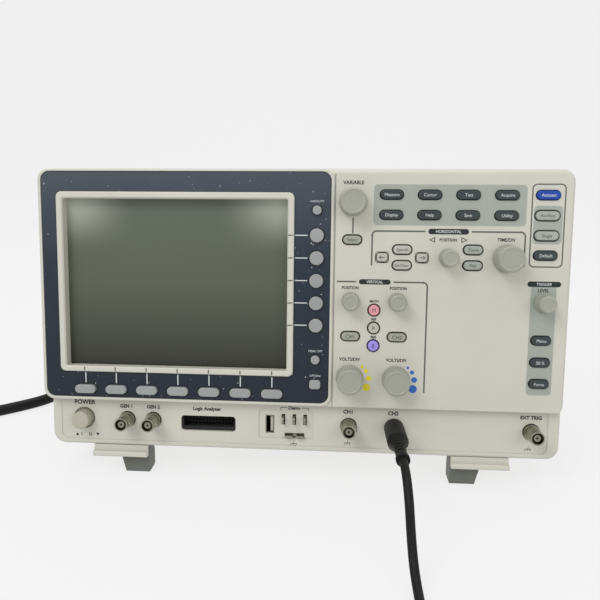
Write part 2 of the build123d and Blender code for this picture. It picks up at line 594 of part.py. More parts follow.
# Demonstration terminals: three wire loops to hook a probe on, and a flat ground tab.
with BuildPart() as demo_terminals:
    for x in DEMO_XS:
        with BuildSketch(side(x - 0.6)):
            with Locations((7.0, DEMO_Z)):
                SlotOverall(12, 6.4)
                SlotOverall(9.6, 4.0, mode=Mode.SUBTRACT)
        extrude(amount=1.2)
    block((-8.5, 5.1), (2.5, 14), (10.8, 12.2))
    block((-3.0, -0.4), (2.0, 14), (10.2, 12.8), mode=Mode.SUBTRACT)
    block((-3.0, -0.4), (8.0, 14), (10.8, 12.2))
    block((-14, 10), (8.6, 12), (8.6, 29.0))
stand(demo_terminals, "demo_terminals")

# ----------------------------------------------------------------------------------- inside
BOARD_BACK = BOARD_FRONT + BOARD_THICKNESS
with BuildPart() as key_board:
    block((1.5, 184.0), (BOARD_FRONT, BOARD_BACK), (39.5, 200.0))
    block((-178.0, 2.0), (BOARD_FRONT, BOARD_BACK), (39.5, 54.0))
    for _, x, z, _, _ in ALL_NAVY_KEYS + ALL_PANEL_KEYS:
        block((x - 2.7, x + 2.7), (KEY_STEM_BACK + KEY_TRAVEL + 0.4, BOARD_FRONT), (z - 2.7, z + 2.7))
    block((84, 110), (BOARD_BACK, BOARD_BACK + 4), (100, 106))
stand(key_board, "key_board")

with BuildPart() as rotary_encoders:
    for x, z, _ in KNOBS.values():
        block((x - 6.2, x + 6.2), (9.0, BOARD_FRONT), (z - 6.2, z + 6.2))
        rod(x, z, 4.5, 3.5, 9.0)
        rod(x, z, SHAFT_BORE, 3.0, 14.4, mode=Mode.SUBTRACT)
stand(rotary_encoders, "rotary_encoders")

with BuildPart() as main_board:
    board_back = MAIN_BOARD_FRONT + BOARD_THICKNESS
    block((-172, 180), (MAIN_BOARD_FRONT, board_back), (6, 128))
    block((POWER_X - 7, POWER_X + 7), (24.0, MAIN_BOARD_FRONT), (POWER_Z - 7, POWER_Z + 7))
    for x, width in ((-117, 34), (54, 46)):
        block((x - width / 2, x + width / 2), (board_back, board_back + 9), (16, 60))
    for x, z, chip in ((-40, 84, 30), (10, 84, 24), (60, 90, 20), (112, 84, 26), (-96, 88, 18)):
        block((x - chip / 2, x + chip / 2), (board_back, board_back + 2.4), (z - chip / 2, z + chip / 2))
    for step in range(9):
        x = -50.5 + 2.6 * step
        block((x, x + 1.2), (board_back + 2.4, board_back + 9), (73, 95))
stand(main_board, "main_board")

CHASSIS_Y = 51.0
with BuildPart() as chassis_frame:
    block((-176, 180), (CHASSIS_Y, CHASSIS_Y + 1.2), (4.5, 186))
    for x_low in (-176, 178.8):
        block((x_low, x_low + 1.2), (CHASSIS_Y, 92), (12, 180))
    block((-150, 150), (CHASSIS_Y, 88), (4.5, 5.7))
    block((-150, 150), (CHASSIS_Y, 66), (184.8, 186))
    with BuildSketch(front(CHASSIS_Y + 2)):
        with GridLocations(58, 0, 5, 1):
            with Locations((0, 152)):
                RectangleRounded(42, 42, 5)
    extrude(amount=4, mode=Mode.SUBTRACT)
stand(chassis_frame, "chassis_frame")

with BuildPart() as power_supply:
    block((-100, -6), (62, 116), (14, 15.6))
    block((-96, -62), (66, 94), (15.6, 46))
    for x in (-52, -34):
        with Locations((x, 84, 30.6)):
            Cylinder(8, 30)
    for fin in range(7):
        block((-24, -9), (64 + 7 * fin, 66 + 7 * fin), (15.6, 44))
    block((-24, -22), (64, 108), (15.6, 44))
    block((-94, -76), (99, 113), (15.6, 30))
stand(power_supply, "power_supply")

FAN_BACK = CASE_BACK - WALL - 0.2
with BuildPart() as fan_housing:
    block((FAN_X - 30, FAN_X + 30), (FAN_BACK - 15, FAN_BACK), (FAN_Z - 30, FAN_Z + 30))
    rod(FAN_X, FAN_Z, 28.2, FAN_BACK - 16, FAN_BACK + 1, mode=Mode.SUBTRACT)
    for angle in (0, 60, 120):
        with Locations(Location((FAN_X, FAN_BACK - 0.8, FAN_Z), (0, angle, 0))):
            Box(58, 1.6, 3.4)
    rod(FAN_X, FAN_Z, 12.5, FAN_BACK - 1.6, FAN_BACK)
    rod(FAN_X, FAN_Z, 4.0, FAN_BACK - 9, FAN_BACK)
    rod(FAN_X, FAN_Z, 1.55, FAN_BACK - 10, FAN_BACK - 0.6, mode=Mode.SUBTRACT)
stand(fan_housing, "fan_housing")

with BuildPart() as fan_rotor:
    rod(FAN_X, FAN_Z, 13.0, FAN_BACK - 14.0, FAN_BACK - 2.2)
    rod(FAN_X, FAN_Z, 11.4, FAN_BACK - 12.4, FAN_BACK - 2.0, mode=Mode.SUBTRACT)
    rod(FAN_X, FAN_Z, 1.5, FAN_BACK - 13.0, FAN_BACK - 1.2)
    for blade in range(7):
        with Locations(Location((FAN_X, FAN_BACK - 8.2, FAN_Z), (0, 360 / 7 * blade, 0))):
            with Locations(Location((19.8, 0, 0), (38, 0, 0))):
                Box(14.6, 1.3, 13.0)
stand(fan_rotor, "fan_rotor")

# ------------------------------------------------------------------------------- rear connectors
with BuildPart() as mains_inlet:
    block((INLET_X - 25, INLET_X + 25), (CASE_BACK, CASE_BACK + 2.5), (INLET_Z - 12, INLET_Z + 12))
    fillet(mains_inlet.edges().filter_by(Axis.Y), 3.0)
    block((INLET_X - 13.7, INLET_X + 13.7), (CASE_BACK - 18, CASE_BACK), (INLET_Z - 9.8, INLET_Z + 9.8))
    block((INLET_X - 12.2, INLET_X + 12.2), (CASE_BACK - 15.5, CASE_BACK + 3),
          (INLET_Z - 8.2, INLET_Z + 8.2), mode=Mode.SUBTRACT)
    for x, z in ((-7, -2), (0, 2), (7, -2)):
        block((INLET_X + x - 1, INLET_X + x + 1), (CASE_BACK - 16, CASE_BACK - 3),
              (INLET_Z + z - 2, INLET_Z + z + 2))
    for x in (-20, 20):
        rod(INLET_X + x, INLET_Z, 1.7, CASE_BACK - 1, CASE_BACK + 3, mode=Mode.SUBTRACT)
stand(mains_inlet, "mains_inlet")

with BuildPart() as rear_ports:
    # trigger output jack
    rod(REAR_BNC_X, REAR_PORT_Z, 5.4, CASE_BACK - 4, CASE_BACK + 0.8)
    rod(REAR_BNC_X, REAR_PORT_Z, BNC_BARREL, CASE_BACK, CASE_BACK + 10.5)
    with Locations(Location((REAR_BNC_X, CASE_BACK + 6.5, REAR_PORT_Z), (0, 90, 0))):
        Cylinder(1.0, 2 * BNC_BARREL + 1.6)
    rod(REAR_BNC_X, REAR_PORT_Z, 4.05, CASE_BACK - 1.5, CASE_BACK + 11, mode=Mode.SUBTRACT)
    rod(REAR_BNC_X, REAR_PORT_Z, 2.4, CASE_BACK - 2, CASE_BACK + 9.5)
    rod(REAR_BNC_X, REAR_PORT_Z, 0.8, CASE_BACK + 1, CASE_BACK + 10, mode=Mode.SUBTRACT)
    block((REAR_BNC_X - 6.75, REAR_BNC_X + 6.75), (CASE_BACK - 18, CASE_BACK - WALL - 0.3),
          (REAR_PORT_Z - 6.75, REAR_PORT_Z + 6.75))
    # square data socket
    block((REAR_USB_X - 6.0, REAR_USB_X + 6.0), (CASE_BACK - 16, CASE_BACK + 0.2),
          (REAR_PORT_Z - 5.4, REAR_PORT_Z + 5.4))
    block((REAR_USB_X - 4.3, REAR_USB_X + 4.3), (CASE_BACK - 12, CASE_BACK + 1),
          (REAR_PORT_Z - 4.0, REAR_PORT_Z + 4.0), mode=Mode.SUBTRACT)
    block((REAR_USB_X - 2.8, REAR_USB_X + 2.8), (CASE_BACK - 13, CASE_BACK - 2),
          (REAR_PORT_Z - 1.6, REAR_PORT_Z + 1.6))
    # network socket with its latch notch
    block((REAR_LAN_X - 8.0, REAR_LAN_X + 8.0), (CASE_BACK - 18, CASE_BACK + 0.2),
          (REAR_PORT_Z - 6.8, REAR_PORT_Z + 6.8))
    block((REAR_LAN_X - 5.9, REAR_LAN_X + 5.9), (CASE_BACK - 13, CASE_BACK + 1),
          (REAR_PORT_Z - 2.8, REAR_PORT_Z + 5.2), mode=Mode.SUBTRACT)
    block((REAR_LAN_X - 3.0, REAR_LAN_X + 3.0), (CASE_BACK - 8, CASE_BACK + 1),
          (REAR_PORT_Z - 4.8, REAR_PORT_Z), mode=Mode.SUBTRACT)
stand(rear_ports, "rear_ports")

# --------------------------------------------------------------------------------- mains lead
CONNECTOR_END = 196.0
MAINS_DIAMETER = 10.0
MAINS_COIL_X, MAINS_COIL_Y = -322.9, -68.5
MAINS_COIL_RADIUS = 57.0

with BuildPart() as mains_connector:
    block((INLET_X - 11.9, INLET_X + 11.9), (CASE_BACK - 13.5, CASE_BACK + 4),
          (INLET_Z - 7.9, INLET_Z + 7.9))
    for x, z in ((-7, -2), (0, 2), (7, -2)):
        block((INLET_X + x - 1.3, INLET_X + x + 1.3), (CASE_BACK - 14, CASE_BACK - 2),
              (INLET_Z + z - 2.3, INLET_Z + z + 2.3), mode=Mode.SUBTRACT)
    extrude(
        panel_outline(CASE_BACK + 36, (INLET_X - 13.75, INLET_X + 13.75), (INLET_Z - 9.5, INLET_Z + 9.5), 5.0),
        amount=33,
    )
    with BuildSketch(front(CASE_BACK + 36)):
        with Locations((INLET_X, INLET_Z)):
            Circle(8.0)
    with BuildSketch(front(CONNECTOR_END)):
        with Locations((INLET_X, INLET_Z)):
            Circle(5.7)
    loft()
stand(mains_connector, "mains_connector")


def standing(x, y, z):
    """Where a point of the case frame comes to lie when the instrument stands."""
    return (STANCE * Location((x, y, z))).position


def lead(points, diameter):
    """Round lead swept along straight runs that are joined by tangent arcs."""
    radii = []
    for before, corner, after in zip(points, points[1:], points[2:]):
        run_in = Vector(corner) - Vector(before)
        run_out = Vector(after) - Vector(corner)
        half_turn = radians(run_in.get_angle(run_out)) / 2
        radii.append(0.45 * min(run_in.length, run_out.length) / tan(half_turn))
    with BuildPart() as tube:
        with BuildLine() as path:
            FilletPolyline(*points, radius=radii)
        with BuildSketch(Plane(origin=path.line @ 0, z_dir=path.line % 0)):
            Circle(diameter / 2)
        sweep()
    return tube


def coil(x, y, outer_radius, diameter, turns_across):
    """Outer shape of a coiled lead, two layers high, held by one strap."""
    section_low = outer_radius - (turns_across - 0.5) * diameter
    section_high = outer_radius + 0.5 * diameter
    with BuildPart() as bundle:
        with BuildSketch(Plane.XZ):
            with Locations(((section_low + section_high) / 2, diameter)):
                RectangleRounded(section_high - section_low, 2 * diameter, 0.48 * diameter)
        revolve(axis=Axis.Z)
        block((section_low - 0.8, section_high + 0.8), (-3, 3), (0, 2 * diameter + 0.8))
        add(bundle.part.moved(Location((x, y, 0))), mode=Mode.REPLACE)
    return bundle


mains_exit = standing(INLET_X, CONNECTOR_END, INLET_Z)
mains_away = standing(INLET_X, CONNECTOR_END + 45, INLET_Z)
MAINS_POINTS = [
    (mains_exit.X, mains_exit.Y, mains_exit.Z),
    (mains_away.X, mains_away.Y, mains_away.Z),
    (-162, 205, 19),
    (-208, 205, 11),
    (-240, 173, 6.5),
    (-240, 128, 5),
    (-242, 92, 5),
    (-250, 60, 5),
    (-270, 38, 5),
    (-297, 17, 5),
    (-326, -4, 5),
    (-355.3, -21.6, 5),
]
lay(lead(MAINS_POINTS, MAINS_DIAMETER), "mains_cord")
lay(coil(MAINS_COIL_X, MAINS_COIL_Y, MAINS_COIL_RADIUS, MAINS_DIAMETER, 2), "mains_coil")

# Mains plug: moulded body with two blades and an earth pin, lying on the ground by the coil.
MAINS_TAIL = 40.0
PLUG_AXIS_HEIGHT = 12.55
plug_base = Plane(
    origin=(MAINS_COIL_X - MAINS_COIL_RADIUS, MAINS_COIL_Y, PLUG_AXIS_HEIGHT),
    x_dir=(0, 0, 1),
    z_dir=(0, -1, 0),
)
with BuildPart() as mains_plug:
    with BuildSketch(plug_base.offset(10)):
        Circle(MAINS_DIAMETER / 2)
    extrude(amount=MAINS_TAIL - 10)
    with BuildSketch(plug_base.offset(MAINS_TAIL)):
        Circle(5.7)
    with BuildSketch(plug_base.offset(MAINS_TAIL + 28)):
        Circle(8.5)
    loft()
    with BuildSketch(plug_base.offset(MAINS_TAIL + 28)):
        RectangleRounded(25, 30, 7)
    extrude(amount=34)
    with BuildSketch(plug_base.offset(MAINS_TAIL + 62)):
        for across in (-6.35, 6.35):
            with Locations((3, across)):
                Rectangle(6.4, 1.6)
        with Locations((-8, 0)):
            Circle(2.4)
    extrude(amount=17)
lay(mains_plug, "mains_plug")

# --------------------------------------------------------------------------------- patch lead
PATCH_X = FRONT_BNCS[3]
PLUG_MOUTH = 4.5
PLUG_LENGTH = 64.5
PATCH_DIAMETER = 5.5
PATCH_COIL_RADIUS = 32.6
PATCH_LINE_X = 76.0
PATCH_COIL_Y = -244.0


def bayonet_plug():
    """Bayonet plug with its mouth at the origin and its lead leaving along +z."""
    with BuildPart() as plug:
        with BuildSketch(Plane.XZ):
            with BuildLine():
                Polyline((0, 15), (2.7, 15), (2.7, 2.5), (3.75, 2.5), (3.75, 15), (6.0, 15), (6.0, 0),
                         (6.9, 0), (7.2, 0.6), (7.2, 31), (6.7, 32.2), (4.1, 39.5), (3.8, 40),
                         (3.8, 60.5), (4.5, 61), (4.5, PLUG_LENGTH - 0.4), (4.1, PLUG_LENGTH),
                         (0, PLUG_LENGTH), close=True)
            make_face()
            # grooves that let the neck flex
            for height in (44.0, 49.0, 54.0):
                with Locations((3.8, height)):
                    Rectangle(1.2, 2.0, mode=Mode.SUBTRACT)
        revolve(axis=Axis.Z)
        with Locations((0, 0, 10.5)):
            Cylinder(0.5, 10)
        # grip grooves along the collar
        with Locations((0, 0, 23)):
            with PolarLocations(7.4, 24):
                Cylinder(0.45, 13, mode=Mode.SUBTRACT)
    return plug


with BuildPart() as patch_plug:
    add(bayonet_plug().part.moved(Location((PATCH_X, PLUG_MOUTH, BNC_Z), (90, 0, 0))))
stand(patch_plug, "patch_plug")

patch_exit = standing(PATCH_X, PLUG_MOUTH - PLUG_LENGTH, BNC_Z)
patch_away = standing(PATCH_X, PLUG_MOUTH - PLUG_LENGTH - 15, BNC_Z)
PATCH_POINTS = [
    (patch_exit.X, patch_exit.Y, patch_exit.Z),
    (patch_away.X, patch_away.Y, patch_away.Z),
    (71.2, -160, 42.5),
    (72.2, -166, 26),
    (73.4, -176, 10),
    (74.8, -196, 2.75),
    (PATCH_LINE_X - 0.2, -220, 2.75),
    (PATCH_LINE_X, PATCH_COIL_Y, 2.75),
]
lay(lead(PATCH_POINTS, PATCH_DIAMETER), "patch_cable")
lay(coil(PATCH_LINE_X + PATCH_COIL_RADIUS, PATCH_COIL_Y, PATCH_COIL_RADIUS, PATCH_DIAMETER, 3), "patch_coil")

PATCH_TAIL = 21.0
FAR_PLUG_HEIGHT = 7.25
with BuildPart() as patch_far_plug:
    mouth_y = PATCH_COIL_Y - PATCH_TAIL - PLUG_LENGTH
    add(bayonet_plug().part.moved(Location((PATCH_LINE_X, mouth_y, FAR_PLUG_HEIGHT), (-90, 0, 0))))
    with Locations(Location((PATCH_LINE_X, PATCH_COIL_Y - PATCH_TAIL / 2, FAR_PLUG_HEIGHT), (90, 0, 0))):
        Cylinder(PATCH_DIAMETER / 2, PATCH_TAIL)
lay(patch_far_plug, "patch_far_plug")
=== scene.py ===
import json
from math import cos, pi, radians, sin

import bpy
from mathutils import Matrix, Vector


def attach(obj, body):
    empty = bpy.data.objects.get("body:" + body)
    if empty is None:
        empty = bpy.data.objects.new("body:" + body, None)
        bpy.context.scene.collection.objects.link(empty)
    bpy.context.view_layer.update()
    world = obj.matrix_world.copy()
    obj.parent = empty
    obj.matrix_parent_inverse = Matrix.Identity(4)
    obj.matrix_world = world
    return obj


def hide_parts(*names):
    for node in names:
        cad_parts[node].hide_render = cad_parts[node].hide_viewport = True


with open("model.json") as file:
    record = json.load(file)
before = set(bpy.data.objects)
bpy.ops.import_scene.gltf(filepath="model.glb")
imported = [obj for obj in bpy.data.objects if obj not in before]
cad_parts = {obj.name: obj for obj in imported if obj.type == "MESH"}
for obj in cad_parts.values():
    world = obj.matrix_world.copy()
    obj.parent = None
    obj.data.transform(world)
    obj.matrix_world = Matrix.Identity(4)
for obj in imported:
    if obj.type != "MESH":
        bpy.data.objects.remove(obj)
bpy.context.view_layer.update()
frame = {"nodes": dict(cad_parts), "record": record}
nodes = frame["nodes"]

# Case frame, in millimetres: x to the right, y into the depth from the control panel's face and z up
# from the case's underside. CASE turns it into the row frame, leaning back on its feet.
LEAN = radians(7.0)
LEG_SOLE_Y, LEG_SOLE_Z = 9.7, -22.2
FRONT_LIFT = LEG_SOLE_Y * sin(LEAN) - LEG_SOLE_Z * cos(LEAN)
BACK_SHIFT = -71.4
CASE = (
    Matrix.Scale(0.001, 4)
    @ Matrix.Translation((0, BACK_SHIFT, FRONT_LIFT))
    @ Matrix.Rotation(-LEAN, 4, "X")
)
scene = bpy.context.scene
collection = scene.collection

# ------------------------------------------------------------------------------------------ camera
camera_data = bpy.data.cameras.new("camera")
camera_data.lens = 36.18
camera_data.sensor_width = 36.0
camera_data.shift_x = 0.0091
camera_data.shift_y = 0.0021
camera_data.clip_start = 0.01
camera_data.clip_end = 20.0
camera = bpy.data.objects.new("camera", camera_data)
camera.location = (0.0285, -0.4741, 0.2310)
camera.rotation_euler = (radians(76.95), radians(-0.07), radians(4.24))
collection.objects.link(camera)
scene.camera = camera


# ----------------------------------------------------------------------------------------- shaders
def material(name, color, roughness, metallic=0.0, mottle=0.05, mottle_scale=18.0, grain_scale=1800.0,
             grain=0.12, smudge=0.08, dust=0.0, specular=0.5, coat=0.0):
    """Procedural finish: mottled colour, fine surface grain, smudges in the gloss and settled dust."""
    made = bpy.data.materials.new(name)
    made.use_nodes = True
    tree = made.node_tree
    shader = tree.nodes["Principled BSDF"]
    place = tree.nodes.new("ShaderNodeTexCoord")

    def noise(scale, detail):
        node = tree.nodes.new("ShaderNodeTexNoise")
        node.inputs["Scale"].default_value = scale
        node.inputs["Detail"].default_value = detail
        tree.links.new(place.outputs["Object"], node.inputs["Vector"])
        return node.outputs["Fac"]

    def spread(value, low, high):
        node = tree.nodes.new("ShaderNodeMapRange")
        node.inputs["From Min"].default_value = 0.3
        node.inputs["From Max"].default_value = 0.7
        node.inputs["To Min"].default_value = low
        node.inputs["To Max"].default_value = high
        tree.links.new(value, node.inputs["Value"])
        return node.outputs["Result"]

    def blend(factor, low, high):
        node = tree.nodes.new("ShaderNodeMix")
        node.data_type = "RGBA"
        for socket, value in ((node.inputs[0], factor), (node.inputs[6], low), (node.inputs[7], high)):
            if isinstance(value, bpy.types.NodeSocket):
                tree.links.new(value, socket)
            else:
                socket.default_value = value
        return node.outputs[2]

    dark = [c * (1 - mottle) for c in color] + [1]
    light = [min(1.0, c * (1 + mottle)) for c in color] + [1]
    body = blend(spread(noise(mottle_scale, 4.0), 0, 1), dark, light)
    if dust:
        facing = tree.nodes.new("ShaderNodeNewGeometry")
        upward = tree.nodes.new("ShaderNodeSeparateXYZ")
        tree.links.new(facing.outputs["Normal"], upward.inputs["Vector"])
        lying = tree.nodes.new("ShaderNodeMath")
        lying.operation = "MULTIPLY"
        tree.links.new(upward.outputs["Z"], lying.inputs[0])
        tree.links.new(spread(noise(60.0, 6.0), 0.1 * dust, dust), lying.inputs[1])
        body = blend(lying.outputs["Value"], body, (0.62, 0.6, 0.55, 1))
    tree.links.new(body, shader.inputs["Base Color"])
    tree.links.new(spread(noise(35.0, 5.0), max(0.03, roughness - smudge), roughness + smudge),
                   shader.inputs["Roughness"])
    shader.inputs["Metallic"].default_value = metallic
    shader.inputs["Specular IOR Level"].default_value = specular
    shader.inputs["Coat Weight"].default_value = coat
    bump = tree.nodes.new("ShaderNodeBump")
    bump.inputs["Strength"].default_value = grain
    bump.inputs["Distance"].default_value = 0.00012
    tree.links.new(noise(grain_scale, 2.0), bump.inputs["Height"])
    tree.links.new(bump.outputs["Normal"], shader.inputs["Normal"])
    return made


def scuffs_and_painted_light(name, low, high, stops, scuffs=0.7, **finish):
    """Finish with pale scuffs, and with painted light and shade as a change of colour from z = low to z =
    high, through (place, colour) stops.
    """
    made = material(name, stops[0][1], **finish)
    tree = made.node_tree
    place = tree.nodes.new("ShaderNodeTexCoord")
    parts = tree.nodes.new("ShaderNodeSeparateXYZ")
    tree.links.new(place.outputs["Object"], parts.inputs["Vector"])
    # painted light and shade: a colour ramp over the height z
    span = tree.nodes.new("ShaderNodeMapRange")
    span.inputs["From Min"].default_value = low
    span.inputs["From Max"].default_value = high
    tree.links.new(parts.outputs["Z"], span.inputs["Value"])
    ramp = tree.nodes.new("ShaderNodeValToRGB")
    ramp.color_ramp.elements[0].color = (*stops[0][1], 1)
    ramp.color_ramp.elements[1].color = (*stops[-1][1], 1)
    for where, color in stops[1:-1]:
        ramp.color_ramp.elements.new(where).color = (*color, 1)
    tree.links.new(span.outputs["Result"], ramp.inputs["Fac"])
    specks = tree.nodes.new("ShaderNodeTexNoise")
    specks.inputs["Scale"].default_value = 420.0
    specks.inputs["Detail"].default_value = 1.0
    tree.links.new(place.outputs["Object"], specks.inputs["Vector"])
    showing = tree.nodes.new("ShaderNodeMapRange")
    showing.inputs["From Min"].default_value = 0.73
    showing.inputs["From Max"].default_value = 0.80
    showing.inputs["To Max"].default_value = scuffs
    tree.links.new(specks.outputs["Fac"], showing.inputs["Value"])
    shading_and_scuffs = tree.nodes.new("ShaderNodeMix")
    shading_and_scuffs.data_type = "RGBA"
    tree.links.new(showing.outputs["Result"], shading_and_scuffs.inputs[0])
    tree.links.new(ramp.outputs["Color"], shading_and_scuffs.inputs[6])
    shading_and_scuffs.inputs[7].default_value = (0.5, 0.5, 0.48, 1)
    tree.links.new(shading_and_scuffs.outputs[2], tree.nodes["Principled BSDF"].inputs["Base Color"])
    return made, ramp, parts


def screen_material():
    """Switched-off display: hazy grey-green, with painted shade below and a painted reflection in both upper
    corners.
    """
    # dark at the bottom to lighter at the top: painted shade and painted light on the screen
    stops = [(0, (0.026, 0.027, 0.020)), (0.5, (0.082, 0.096, 0.068)), (1, (0.10, 0.118, 0.09))]
    made, ramp, parts = scuffs_and_painted_light("screen_glass", 0.084, 0.205, stops, roughness=0.34, mottle=0.0, grain=0.05,
                              smudge=0.02, specular=0.3)
    tree = made.node_tree

    def math(operation, a, b):
        node = tree.nodes.new("ShaderNodeMath")
        node.operation = operation
        for socket, value in zip(node.inputs, (a, b)):
            if isinstance(value, bpy.types.NodeSocket):
                tree.links.new(value, socket)
            else:
                socket.default_value = value
        return node.outputs["Value"]

    def rising(value, start, end):
        node = tree.nodes.new("ShaderNodeMapRange")
        node.interpolation_type = "SMOOTHSTEP"
        node.inputs["From Min"].default_value = start
        node.inputs["From Max"].default_value = end
        tree.links.new(value, node.inputs["Value"])
        return node.outputs["Result"]

    # painted reflection: a pale patch in both upper corners of the screen
    aside = math("ABSOLUTE", math("ADD", parts.outputs["X"], 0.0886), 0.0)
    painted_glare_mask = math("MULTIPLY", rising(aside, 0.030, 0.085), rising(parts.outputs["Z"], 0.166, 0.208))
    painted_glare = tree.nodes.new("ShaderNodeMix")
    painted_glare.data_type = "RGBA"
    tree.links.new(painted_glare_mask, painted_glare.inputs[0])
    tree.links.new(ramp.outputs["Color"], painted_glare.inputs[6])
    painted_glare.inputs[7].default_value = (0.40, 0.42, 0.36, 1)
    tree.links.new(painted_glare.outputs[2], tree.nodes["Principled BSDF"].inputs["Base Color"])
    return made


# navy plate colour, darker at the bottom and lighter at the top: painted shade and a painted highlight
NAVY_PAINTED_LIGHT_STOPS = [(0, (0.006, 0.010, 0.020)), (0.6, (0.013, 0.021, 0.036)), (1, (0.050, 0.062, 0.080))]
MATERIALS = {
    "button_beige": material("button_beige", (0.37, 0.355, 0.285), 0.4, mottle=0.05, grain=0.15,
                             smudge=0.1),
    "insulator": material("insulator", (0.17, 0.165, 0.12), 0.4, mottle=0.08, grain=0.1),
    "case_beige": material("case_beige", (0.50, 0.492, 0.43), 0.48, mottle=0.03, grain=0.25, dust=0.12),
    "case_grey": material("case_grey", (0.42, 0.41, 0.36), 0.5, mottle=0.04, grain=0.3, dust=0.2),
    "navy_plate": scuffs_and_painted_light("navy_plate", 0.055, 0.228, NAVY_PAINTED_LIGHT_STOPS, roughness=0.42, mottle=0.0, grain=0.18,
                        smudge=0.1, specular=0.35)[0],
    "screen_glass": screen_material(),
    "inner_metal": material("inner_metal", (0.6, 0.6, 0.6), 0.35, metallic=1.0, grain=0.2, mottle=0.06),
    "circuit_board": material("circuit_board", (0.02, 0.10, 0.045), 0.4, mottle=0.15, mottle_scale=90.0),
    "black_plastic": material("black_plastic", (0.013, 0.013, 0.013), 0.45, mottle=0.15, grain=0.3, dust=0.03,
                              specular=0.3),
    "white_plastic": material("white_plastic", (0.46, 0.44, 0.36), 0.35, mottle=0.05, grain=0.08),
    "nickel": material("nickel", (0.31, 0.30, 0.23), 0.27, metallic=1.0, mottle=0.12, mottle_scale=120.0,
                       grain=0.15, smudge=0.12),
    "foot_grey": material("foot_grey", (0.10, 0.105, 0.09), 0.5, mottle=0.06, grain=0.35, dust=0.08),
    "screw_steel": material("screw_steel", (0.4, 0.4, 0.39), 0.35, metallic=1.0, mottle=0.15, grain=0.2),
    "cord_black": material("cord_black", (0.007, 0.007, 0.007), 0.5, mottle=0.2, grain=0.3, specular=0.18),
    "knob_grey": material("knob_grey", (0.29, 0.298, 0.248), 0.38, mottle=0.05, grain=0.15, smudge=0.1),
    "key_light": material("key_light", (0.40, 0.40, 0.35), 0.42, mottle=0.04, grain=0.15),
    "key_grey": material("key_grey", (0.30, 0.325, 0.29), 0.42, mottle=0.04, grain=0.15),
    "key_silver": material("key_silver", (0.265, 0.275, 0.27), 0.38, mottle=0.06, grain=0.15, smudge=0.1),
    "key_dark": material("key_dark", (0.030, 0.040, 0.042), 0.42, mottle=0.08, grain=0.15, specular=0.35),
    "key_blue": material("key_blue", (0.006, 0.045, 0.30), 0.36, mottle=0.06, grain=0.12, specular=0.3),
    "key_yellow": material("key_yellow", (0.405, 0.40, 0.34), 0.42, mottle=0.04, grain=0.12),
    "key_cyan": material("key_cyan", (0.40, 0.40, 0.35), 0.42, mottle=0.04, grain=0.12),
    "key_pink": material("key_pink", (0.62, 0.27, 0.30), 0.42, mottle=0.05, grain=0.12),
    "key_violet": material("key_violet", (0.28, 0.23, 0.66), 0.42, mottle=0.05, grain=0.12),
    "print_dark": material("print_dark", (0.022, 0.026, 0.026), 0.5, mottle=0.15, grain=0.1, specular=0.2),
    "print_light": material("print_light", (0.55, 0.57, 0.57), 0.5, mottle=0.08, grain=0.1),
    "print_field": material("print_field", (0.30, 0.325, 0.285), 0.5, mottle=0.04, grain=0.25),
    "print_line": material("print_line", (0.085, 0.092, 0.08), 0.5, mottle=0.1, grain=0.1),
    "print_yellow": material("print_yellow", (0.66, 0.56, 0.010), 0.5, mottle=0.06, grain=0.1),
    "print_blue": material("print_blue", (0.010, 0.11, 0.42), 0.5, mottle=0.06, grain=0.1),
}


def paint(node, *slots):
    """Puts these finishes on a CAD node's material slots, the first one everywhere."""
    data = nodes[node].data
    data.materials.clear()
    for name in slots:
        data.materials.append(MATERIALS[name])
    return data


UNCASE = CASE.inverted()
UNTURN = CASE.to_3x3().normalized().transposed()


def paint_where(node, slots, choose):
    """As paint, with choose(centre, normal) giving each face's slot, both in the case frame."""
    for polygon in paint(node, *slots).polygons:
        polygon.material_index = choose(UNCASE @ polygon.center, UNTURN @ polygon.normal)


for row in frame["record"]["subparts"]:
    paint(row["node"], row["material_slot"])

KEY_FINISH = {
    "power_button": "button_beige",
    "front_feet": "case_beige",
    "bnc_insulators": "insulator",
    "menu_keys_upper": "key_dark",
    "menu_keys_lower": "key_dark",
    "run_stop_key": "key_grey",
    "channel_1_key": "knob_grey",
    "channel_2_key": "knob_grey",
    "select_key": "knob_grey",
    "display_keys": "key_silver",
    "single_key": "key_grey",
    "trigger_keys": "key_dark",
    "zoom_keys": "key_grey",
}
for node, finish in KEY_FINISH.items():
    paint(node, finish)
FUNCTION_KEYS_Z = (106.6, 93.9, 81.2)
paint_where(
    "function_keys",
    ("key_pink", "key_light", "key_violet"),
    lambda p, n: min(range(3), key=lambda i: abs(p.z - FUNCTION_KEYS_Z[i])),
)
paint_where("key_board", ("circuit_board", "black_plastic"), lambda p, n: 1 if p.y < 15.2 else 0)
paint_where("main_board", ("circuit_board", "black_plastic", "inner_metal"),
            lambda p, n: 2 if p.y > 40.2 else 1 if p.y > 37.7 or p.y < 35.9 else 0)
paint_where("demo_terminals", ("nickel", "black_plastic"),
            lambda p, n: 1 if 8.5 < p.y < 12.1 and p.z > 17 else 0)
paint_where("usb_host_port", ("nickel", "black_plastic", "white_plastic"),
            lambda p, n: 0 if p.y < 7 else 2 if -19.7 < p.x < -17.7 and abs(p.z - 19.8) < 5.7 else 1)
paint_where("lcd_module", ("inner_metal", "white_plastic"), lambda p, n: 1 if p.y > 12.6 else 0)


